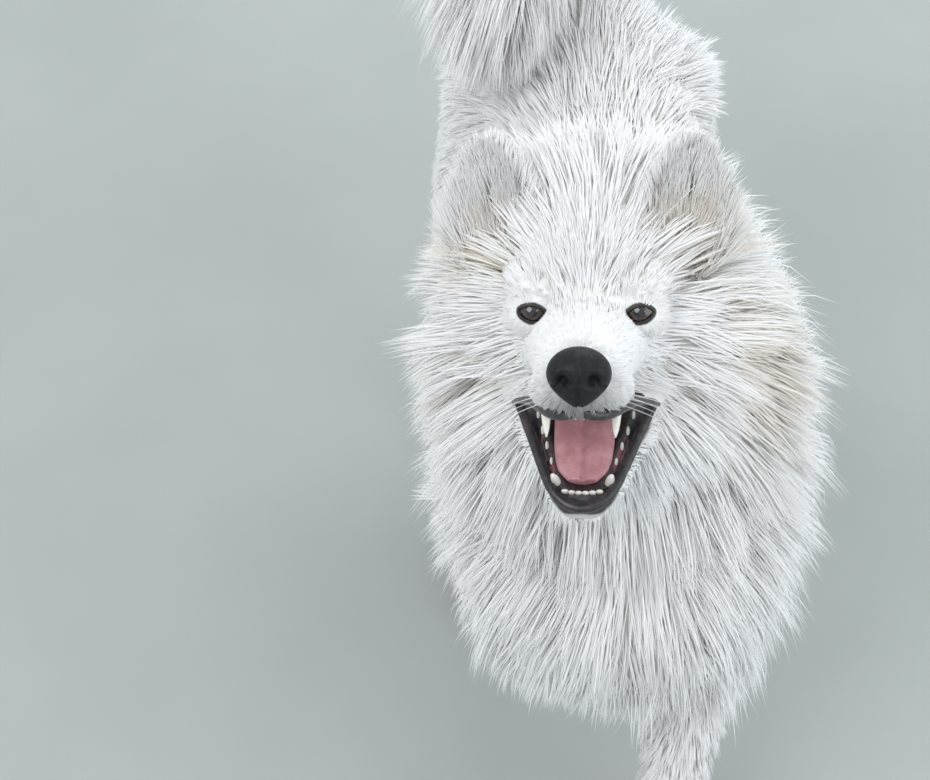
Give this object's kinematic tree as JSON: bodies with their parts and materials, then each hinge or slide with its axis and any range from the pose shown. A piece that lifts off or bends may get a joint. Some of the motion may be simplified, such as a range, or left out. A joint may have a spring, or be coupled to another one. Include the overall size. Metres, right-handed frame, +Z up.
{
  "type": "samoyed dog model",
  "caption": "Still life-size model of a white long-haired spitz dog in mid-stride, head raised, mouth open and tail curled over the back.",
  "frame": {"origin": "on the floor under the middle of the dog's box", "axes": "+Z up, the dog faces -Y, and +X is its left side"},
  "size_m": [0.3742, 0.809, 0.7615],
  "materials": {
    "white_coat": "long soft white coat with cream shading, over pale skin",
    "lip_skin": "smooth damp black skin",
    "nose_skin": "black, finely pebbled, damp",
    "tongue_skin": "wet mauve pink, fine papillae",
    "eye": "clear wet cornea over a dark brown iris"
  },
  "bodies": {
    "root": {"head": "white_coat", "neck": "white_coat", "torso": "white_coat", "jaw": "lip_skin", "tongue": "tongue_skin", "nose": "nose_skin", "eye_left": "eye", "eye_right": "eye", "ear_left": "white_coat", "ear_right": "white_coat", "tail_root": "white_coat", "tail_arch": "white_coat", "tail_end": "white_coat", "foreleg_left": "white_coat", "foreleg_right": "white_coat", "forepaw_left": "white_coat", "forepaw_right": "white_coat", "hindleg_left": "white_coat", "hindleg_right": "white_coat", "hindpaw_left": "white_coat", "hindpaw_right": "white_coat"}
  },
  "joints": []
}
